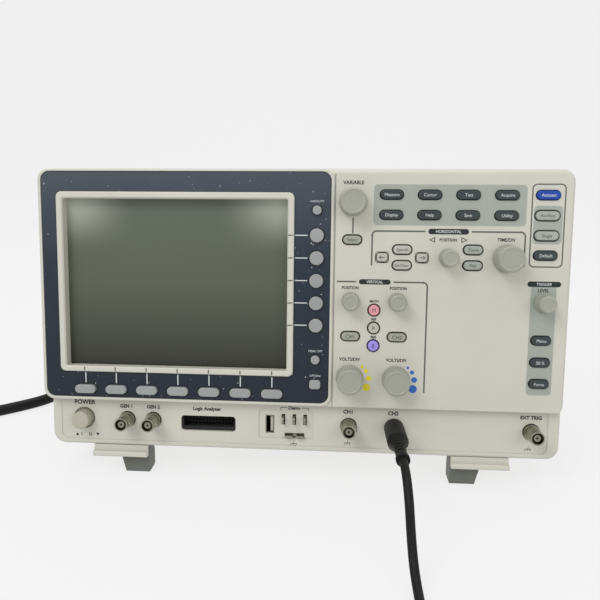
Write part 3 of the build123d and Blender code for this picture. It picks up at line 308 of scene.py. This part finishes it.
# ------------------------------------------------------------------------------------------ prints
class Print:
    """Thin printed shapes of one finish that ride on one body, gathered into a single piece."""

    def __init__(self, name, finish, body, depth):
        self.name, self.finish, self.body, self.depth = name, finish, body, depth
        self.waiting = []

    def take(self, curve, x=0.0, z=0.0, width=1.0):
        """Keeps a flat curve to be filled later. Its x and y become the case's x and z."""
        holder = bpy.data.objects.new("sheet", curve)
        collection.objects.link(holder)
        self.waiting.append((holder, x, z, width))
        return self

    def area(self, *outlines):
        """Filled outline; the outlines after the first are holes."""
        curve = bpy.data.curves.new("outline", "CURVE")
        curve.dimensions = "2D"
        curve.fill_mode = "BOTH"
        for outline in outlines:
            spline = curve.splines.new("POLY")
            spline.points.add(len(outline) - 1)
            for point, (x, z) in zip(spline.points, outline):
                point.co = (x, z, 0, 1)
            spline.use_cyclic_u = True
        return self.take(curve)

    def text(self, x, z, words, height, width=1.0, align="CENTER", heavy=0.0):
        """Words whose capitals are this high, standing on z."""
        curve = bpy.data.curves.new("words", "FONT")
        curve.body = words
        curve.size = height / 0.70
        curve.align_x = align
        curve.offset = heavy
        curve.resolution_u = 3
        curve.fill_mode = "FRONT"
        return self.take(curve, x, z, width)

    def line(self, points, width):
        """Stroke of this width through the points, with mitred corners."""
        left, right = [], []
        for i, point in enumerate(points):
            here = Vector(point)
            before = Vector(points[max(i - 1, 0)])
            after = Vector(points[min(i + 1, len(points) - 1)])
            came = (here - before).normalized() if i else (after - here).normalized()
            goes = (after - here).normalized() if i < len(points) - 1 else came
            along = (came + goes).normalized()
            aside = Vector((-along.y, along.x)) * (width / 2 / max(0.5, along.dot(came)))
            left.append(tuple(here + aside))
            right.append(tuple(here - aside))
        return self.area(left + right[::-1])


def finish_prints(sheets):
    """Fills every shape and makes one mesh of each print."""
    bpy.context.view_layer.update()
    evaluated = bpy.context.evaluated_depsgraph_get()
    for sheet in sheets:
        vertices, faces = [], []
        for holder, x, z, width in sheet.waiting:
            flat = bpy.data.meshes.new_from_object(holder.evaluated_get(evaluated))
            first = len(vertices)
            vertices += [CASE @ Vector((x + width * v.co.x, sheet.depth, z + v.co.y)) for v in flat.vertices]
            faces += [[first + i for i in polygon.vertices] for polygon in flat.polygons]
        data = bpy.data.meshes.new(sheet.name)
        data.from_pydata([tuple(v) for v in vertices], [], faces)
        data.materials.append(MATERIALS[sheet.finish])
        piece = bpy.data.objects.new(sheet.name, data)
        collection.objects.link(piece)
        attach(piece, sheet.body)
    for sheet in sheets:
        for holder, _, _, _ in sheet.waiting:
            bpy.data.objects.remove(holder)


def arc(x, z, radius, start, end, count=8):
    """Points on an arc, angles in degrees from +x towards +z."""
    return [
        (x + radius * cos(radians(start + (end - start) * i / count)),
         z + radius * sin(radians(start + (end - start) * i / count)))
        for i in range(count + 1)
    ]


def rounded(x_low, x_high, z_low, z_high, radius, count=6):
    """Outline of a rounded rectangle."""
    return (
        arc(x_high - radius, z_high - radius, radius, 0, 90, count)
        + arc(x_low + radius, z_high - radius, radius, 90, 180, count)
        + arc(x_low + radius, z_low + radius, radius, 180, 270, count)
        + arc(x_high - radius, z_low + radius, radius, 270, 360, count)
    )


def slot_outline(x, z, width, height):
    return rounded(x - width / 2, x + width / 2, z - height / 2, z + height / 2, height / 2 - 0.01, 8)


KEY_GAP = 0.65
MENU_XS = [64.3 + 26.0 * i for i in range(4)]
# dark print for legends, arrows and tabs, together with painted shade rings round the keys
dark = Print("print_panel_dark_and_painted_shade", "print_dark", "case", -0.05)
lines = Print("print_panel_lines", "print_line", "case", -0.04)
fields = Print("print_panel_fields", "print_field", "case", -0.03)
pale = Print("print_panel_light", "print_light", "case", -0.09)
navy_print = Print("print_navy_light", "print_light", "case", -0.66)

# grey fields behind the menu keys, the run keys and the trigger column
fields.area(
    rounded(52, 155.5, 166, 194, 3),
    *[slot_outline(x, z, 15.6 + 2 * KEY_GAP, 6.0 + 2 * KEY_GAP) for x in MENU_XS for z in (187.0, 173.2)],
)
fields.area(
    rounded(160.5, 179.6, 154, 180, 2.5),
    *[slot_outline(169.4, z, 15.6 + 2 * KEY_GAP, 6.0 + 2 * KEY_GAP) for z in (173.4, 159.8)],
)
fields.area(
    rounded(161, 178.2, 48.5, 125.5, 2.5),
    *[slot_outline(169.4, z, 13.2 + 2 * KEY_GAP, 6.0 + 2 * KEY_GAP) for z in (87.4, 71.9, 56.7)],
    arc(169.7, 113.6, 3.6, 0, 345, 23),
)
lines.line(rounded(159, 180.8, 138.5, 194.5, 3) + [(180.8, 191.5)], 0.9)
# group lines
lines.line([(38, 160.2), (38, 171)], 1.0)
lines.line([(51.5, 138), (51.5, 159)] + arc(54.5, 159, 3, 180, 90) + [(88, 162)], 1.1)
lines.line([(119.5, 162), (152.5, 162)] + arc(152.5, 159, 3, 90, 0) + [(155.5, 138.5)], 1.1)
lines.line([(27.5, 126.5), (41, 126.5)], 1.1)
lines.line([(67, 126.5), (87.5, 126.5)] + arc(87.5, 123.5, 3, 90, 0) + [(90.5, 48)], 1.1)
lines.line([(53.9, 85.6), (53.9, 88.0)], 0.6)
# dark rings just outside the gaps round the light keys, the function keys and the arrow keys: painted shade
# that widens the dark of each gap
for x, z in ((37.7, 155.8), (72.4, 149.3), (72.4, 138.4), (120.8, 149.6), (120.8, 138.8), (37.6, 87.7),
             (70.3, 87.7), (169.4, 173.4), (169.4, 159.8)):
    width, height = (15.6, 6.0) if x > 160 else (12.3, 5.6)
    dark.area(
        slot_outline(x, z, width + 2 * KEY_GAP + 0.8, height + 2 * KEY_GAP + 0.8),
        slot_outline(x, z, width + 2 * KEY_GAP, height + 2 * KEY_GAP),
    )
for z in FUNCTION_KEYS_Z:
    dark.area(arc(53.9, z, 3.7 + KEY_GAP + 0.4, 0, 345, 23), arc(53.9, z, 3.7 + KEY_GAP, 0, 345, 23))
for x in (58.6, 86.1):
    dark.area(
        rounded(x - 4.75, x + 4.75, 139.85, 147.75, 1.9),
        rounded(x - 4.35, x + 4.35, 140.25, 147.35, 1.5),
    )
# heading tabs
dark.area(rounded(90, 117.5, 160.1, 163.9, 1.7))
dark.area(rounded(43, 65, 124.7, 128.3, 1.7))
dark.area(rounded(158.5, 181, 124.7, 128.5, 1.7))
pale.text(103.7, 161.1, "HORIZONTAL", 2.0, 0.95, heavy=0.03)
pale.text(54, 125.6, "VERTICAL", 1.9, 0.95, heavy=0.03)
pale.text(169.7, 125.7, "TRIGGER", 1.9, 0.95, heavy=0.03)
# legends
for x, z, words, height in (
    (38, 194.0, "VARIABLE", 2.3),
    (103.7, 155.3, "POSITION", 1.85),
    (143, 155.6, "TIME/DIV", 2.1),
    (37, 121.2, "POSITION", 1.85),
    (70.5, 121.2, "POSITION", 1.85),
    (53.9, 112.0, "MATH", 1.6),
    (53.9, 99.2, "REF", 1.6),
    (53.9, 86.5, "BUS", 1.6),
    (37.5, 69.9, "VOLTS/DIV", 2.1),
    (70.5, 69.9, "VOLTS/DIV", 2.1),
    (169.5, 121.2, "LEVEL", 2.0),
):
    dark.text(x, z, words, 1.08 * height, 0.93, heavy=0.09)
for x, turn in ((90.6, 1), (116.8, -1)):
    dark.area(
        [(x, 156.3), (x + turn * 4.2, 154.3), (x + turn * 4.2, 158.3)],
        [(x + turn * 1.1, 156.3), (x + turn * 3.6, 155.1), (x + turn * 3.6, 157.5)],
    )

# lower panel, which stands back
low_dark = Print("print_lower_dark", "print_dark", "case", 5.45)
for x, z, words, height in (
    (-160, 30.9, "POWER", 3.0),
    (-128, 28.9, "GEN 1", 2.3),
    (-107.5, 28.9, "GEN 2", 2.3),
    (-67, 28.7, "Logic Analyzer", 2.3),
    (37.5, 29.6, "CH1", 2.5),
    (70, 29.4, "CH2", 2.5),
    (167.5, 29.4, "EXT TRIG", 2.3),
):
    low_dark.text(x, z, words, 1.08 * height, 1.0, heavy=0.16)
low_dark.text(-2, 31.4, "Demo", 2.4, 1.0, heavy=0.14)
low_dark.line([(-12, 30.8), (-12, 32.6), (-7.0, 32.6)], 0.4)
low_dark.line([(3.4, 32.6), (8.4, 32.6), (8.4, 30.8)], 0.4)
for x, z in ((37.5, 9.6), (-2.0, 7.6), (166.5, 9.6)):
    # chassis ground sign
    low_dark.line([(x, z), (x, z - 2.0)], 0.35)
    low_dark.line([(x - 2.2, z - 2.0), (x + 2.2, z - 2.0)], 0.4)
    for step in (-1.8, 0.0, 1.8):
        low_dark.line([(x + step, z - 2.0), (x + step - 0.9, z - 3.6)], 0.35)
low_dark.line([(-163, 6.2), (-163, 8.8)], 0.6)
low_dark.area(arc(-156.2, 7.5, 1.3, 0, 345, 23), arc(-156.2, 7.5, 0.8, 0, 345, 23))
low_dark.area([(-167.6, 6.4), (-165.0, 6.4), (-166.3, 8.7)])
low_dark.area([(-151.8, 8.7), (-149.2, 8.7), (-150.5, 6.4)])

# navy plate: pointer ticks and small sign
# dark lines across the beige frame at each tick: painted shade of the frame's grooves
groove_shade = Print("painted_frame_groove_shade", "print_dark", "case", -2.44)
for i in range(7):
    navy_print.line([(-156 + 23.0 * i, 48.9), (-156 + 23.0 * i, 56.6)], 0.75)
    groove_shade.line([(-156 + 23.0 * i, 58.4), (-156 + 23.0 * i, 61.3)], 0.4)
for i in range(5):
    z = 94.9 + 15.9 * i
    navy_print.line([(-2.3, z), (6.6, z)], 0.7)
    groove_shade.line([(-7.2, z), (-3.9, z)], 0.4)
navy_print.text(13, 181.5, "HARDCOPY", 1.4, 0.9)
navy_print.text(13, 75.6, "MENU OFF", 1.6, 0.9)
navy_print.text(13, 57.6, "OPTION", 1.6, 0.9)

# colour dots that grow round the two scale knobs
yellow = Print("print_dots_yellow", "print_yellow", "case", -0.04)
blue = Print("print_dots_blue", "print_blue", "case", -0.04)
for x, z, size in ((46.4, 65.8, 2.3), (49.3, 62.8, 3.0), (51.3, 57.5, 3.8), (49.8, 50.8, 5.5)):
    yellow.area(arc(x, z, size / 2, 0, 345, 23))
for x, z, size in ((78.8, 65.8, 1.9), (81.8, 62.5, 2.9), (83.5, 57.2, 4.0), (82.6, 50.5, 5.8)):
    blue.area(arc(x, z, size / 2, 0, 345, 23))
sheets = [dark, lines, fields, pale, navy_print, groove_shade, low_dark, yellow, blue]

# words on the keys, which move with them
KEY_FRONT = -1.64
KEY_WORDS = {
    "menu_keys_upper": (
        "print_light",
        [(x, 187.0, w) for x, w in zip(MENU_XS, ("Measure", "Cursor", "Test", "Acquire"))],
    ),
    "menu_keys_lower": (
        "print_light",
        [(x, 173.2, w) for x, w in zip(MENU_XS, ("Display", "Help", "Save", "Utility"))],
    ),
    "select_key": ("print_dark", [(37.7, 155.8, "Select")]),
    "autoset_key": ("print_light", [(169.4, 187.2, "Autoset")]),
    "run_stop_key": ("print_dark", [(169.4, 173.4, "Run/Stop")]),
    "single_key": ("print_dark", [(169.4, 159.8, "Single")]),
    "default_key": ("print_light", [(169.4, 146.3, "Default")]),
    "search_keys": ("print_dark", [(72.4, 149.3, "Search"), (72.4, 138.4, "Set/Clear")]),
    "zoom_keys": ("print_dark", [(120.8, 149.6, "Zoom"), (120.8, 138.8, "Play")]),
    "channel_1_key": ("print_dark", [(37.6, 87.7, "CH1")]),
    "channel_2_key": ("print_dark", [(70.3, 87.7, "CH2")]),
    "trigger_keys": ("print_light", [(169.4, 87.4, "Menu"), (169.4, 71.9, "50 %"), (169.4, 56.7, "Force")]),
    "function_keys": ("print_dark", [(53.9, z, w) for z, w in zip(FUNCTION_KEYS_Z, "MRB")]),
}
for body, (finish, words) in KEY_WORDS.items():
    sheet = Print("print_" + body, finish, body, KEY_FRONT)
    for x, z, word in words:
        size = 2.7 if body.startswith("channel") or body == "function_keys" else 2.2 if len(word) < 8 else 1.9
        sheet.text(x, z - size / 2, word, size, 0.95, heavy=0.0)
    sheets.append(sheet)
arrows = Print("print_arrow_keys", "print_dark", "arrow_keys", KEY_FRONT)
for x, turn in ((58.6, -1), (86.1, 1)):
    arrows.line([(x - 1.9, 143.8), (x + 1.9, 143.8)], 0.4)
    arrows.line([(x + turn * 0.6, 142.7), (x + turn * 1.9, 143.8), (x + turn * 0.6, 144.9)], 0.4)
sheets.append(arrows)
finish_prints(sheets)


# ------------------------------------------------------------------------------------------- cords
def lead_curve(name, points, diameter, finish):
    """Round lead whose centreline is a smooth curve led by these points, in metres."""
    curve = bpy.data.curves.new(name, "CURVE")
    curve.dimensions = "3D"
    curve.bevel_depth = diameter / 2
    curve.bevel_resolution = 6
    curve.resolution_u = 6
    curve.use_fill_caps = True
    spline = curve.splines.new("NURBS")
    spline.points.add(len(points) - 1)
    for point, (x, y, z) in zip(spline.points, points):
        point.co = (x, y, z, 1)
    spline.order_u = 3
    spline.use_endpoint_u = True
    curve.materials.append(MATERIALS[finish])
    piece = bpy.data.objects.new(name, curve)
    collection.objects.link(piece)
    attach(piece, "case")
    return piece


def eased(angle, start, end, low, high):
    """low before start, high after end, and a smooth change between them; degrees."""
    t = min(1.0, max(0.0, (angle - start) / (end - start)))
    return low + (high - low) * (3 * t * t - 2 * t**3)


def coil_points(x, y, radius, diameter, across, start, step=15, extra=0):
    """Two layers of turns, inwards on the ground and outwards on top, counter-clockwise."""
    points = []
    whole = 360 * (2 * across - 1) + extra
    for angle in range(step, whole + 1, step):
        inward = sum(eased(angle, 360 * k - 60, 360 * k, 0, 1) for k in range(1, across))
        outward = sum(eased(angle, 360 * (across + k) - 180, 360 * (across + k) - 120, 0, 1)
                      for k in range(1, across))
        reach = radius - diameter * (inward - outward)
        rise = eased(angle, 360 * across - 120, 360 * across - 60, 0, 1)
        turn = radians(start + angle)
        points.append((x + reach * cos(turn), y + reach * sin(turn), diameter * (0.5 + rise)))
    return points


def case_xyz(x, y, z):
    return tuple(CASE @ Vector((x, y, z)))


MAINS_D = 0.010
MAINS_X, MAINS_Y, MAINS_RADIUS = -0.3229, -0.0685, 0.0573
INLET = case_xyz(-130, 196, 35)
mains_points = [
    INLET,
    case_xyz(-130, 241, 35),
    (-0.162, 0.205, 0.019),
    (-0.208, 0.205, 0.011),
    (-0.240, 0.173, 0.0065),
    (-0.240, 0.128, 0.005),
    (-0.242, 0.092, 0.005),
    (-0.250, 0.060, 0.005),
    (-0.270, 0.038, 0.005),
    (-0.297, 0.017, 0.005),
    (-0.326, -0.004, 0.005),
    (-0.3475, -0.0169, 0.005),
]
mains_points += coil_points(MAINS_X, MAINS_Y, MAINS_RADIUS, MAINS_D, 2, 124.6, extra=45)
mains_points += [(-0.3801, -0.062, 0.015), (-0.3799, -0.090, 0.0138), (-0.3799, -0.1105, 0.01255)]
mains_lead = lead_curve("mains_lead", mains_points, MAINS_D, "cord_black")
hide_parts("mains_cord", "mains_coil")

PATCH_D = 0.0055
PATCH_X, PATCH_Y, PATCH_RADIUS = 0.1086, -0.244, 0.0328
JACK = case_xyz(70.6, -60, 20.2)
patch_points = [
    JACK,
    case_xyz(70.6, -75, 20.2),
    (0.0712, -0.160, 0.0425),
    (0.0722, -0.166, 0.026),
    (0.0734, -0.176, 0.010),
    (0.0748, -0.196, 0.00275),
    (0.0758, -0.220, 0.00275),
    (0.0760, -0.2395, 0.00275),
]
patch_points += coil_points(PATCH_X, PATCH_Y, PATCH_RADIUS, PATCH_D, 3, 180.0)
patch_points += [(0.0760, -0.253, 0.0080), (0.0760, -0.2665, 0.00725)]
patch_lead = lead_curve("patch_lead", patch_points, PATCH_D, "cord_black")
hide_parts("patch_cable", "patch_coil")


def strap(name, x, y, low, high, height, width):
    """Hook-and-loop strap round the coil's section on its +x side."""

    def squared(value):
        return (abs(value) ** 0.35) * (1 if value > 0 else -1)

    outline = [(squared(cos(2 * pi * i / 32)), squared(sin(2 * pi * i / 32))) for i in range(33)]
    vertices, faces = [], []
    middle, reach = (low + high) / 2, (high - low) / 2
    rings = [(-width / 2, 0.0), (-width / 2, 0.0007), (width / 2, 0.0007), (width / 2, 0.0)]
    for across, out in rings:
        for a, b in outline[:-1]:
            z = max(0.0001, height / 2 + b * (height / 2 + out))
            vertices.append((x + middle + a * (reach + out), y + across, z))
    count = len(outline) - 1
    for ring in range(4):
        for i in range(count):
            j = (i + 1) % count
            after = (ring + 1) % 4
            faces.append((ring * count + i, ring * count + j, after * count + j, after * count + i))
    data = bpy.data.meshes.new(name)
    data.from_pydata(vertices, [], faces)
    data.materials.append(MATERIALS["black_plastic"])
    piece = bpy.data.objects.new(name, data)
    collection.objects.link(piece)
    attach(piece, "case")
    return piece


mains_strap = strap("mains_strap", MAINS_X, MAINS_Y, 0.0422, 0.0622, 0.020, 0.006)
patch_strap = strap("patch_strap", PATCH_X, PATCH_Y, 0.0188, 0.0354, 0.011, 0.005)

# -------------------------------------------------------------------------------- floor and light
floor_data = bpy.data.meshes.new("floor")
profile = [(-3.0, 0.0), (1.2, 0.0)]
profile += [(1.2 + 1.2 * sin(pi / 2 * i / 16), 1.2 - 1.2 * cos(pi / 2 * i / 16)) for i in range(1, 17)]
profile += [(2.4, 5.0)]
floor_data.from_pydata(
    [(x, y, z) for y, z in profile for x in (-5.0, 5.0)],
    [],
    [(2 * i, 2 * i + 1, 2 * i + 3, 2 * i + 2) for i in range(len(profile) - 1)],
)
for polygon in floor_data.polygons:
    polygon.use_smooth = True
studio = material("studio_floor", (0.12, 0.12, 0.12), 0.9, mottle=0.004, grain=0.0, smudge=0.02,
                  specular=0.05)
studio_shader = studio.node_tree.nodes["Principled BSDF"]
studio_shader.inputs["Emission Color"].default_value = (1.0, 1.0, 1.0, 1)
studio_shader.inputs["Emission Strength"].default_value = 0.755
floor_data.materials.append(studio)
floor = bpy.data.objects.new("floor", floor_data)
collection.objects.link(floor)

world = bpy.data.worlds.new("studio")
world.use_nodes = True
world.node_tree.nodes["Background"].inputs["Color"].default_value = (1.0, 1.0, 1.0, 1)
world.node_tree.nodes["Background"].inputs["Strength"].default_value = 0.7
scene.world = world


def light(name, place, aim, size, power, color=(1, 1, 1)):
    data = bpy.data.lights.new(name, "AREA")
    data.shape = "RECTANGLE"
    data.size, data.size_y = size
    data.energy = power
    data.color = color
    lamp = bpy.data.objects.new(name, data)
    lamp.location = place
    lamp.rotation_euler = (Vector(aim) - Vector(place)).to_track_quat("-Z", "Y").to_euler()
    collection.objects.link(lamp)


light("key", (-0.9, -1.2, 1.6), (0, 0, 0.1), (1.0, 1.0), 20)
light("fill", (1.2, -1.4, 0.9), (0, 0, 0.1), (1.2, 1.2), 6.5)
light("top", (0.0, 0.3, 1.8), (0, 0, 0.1), (1.6, 1.2), 9)
scene.view_settings.view_transform = "Standard"
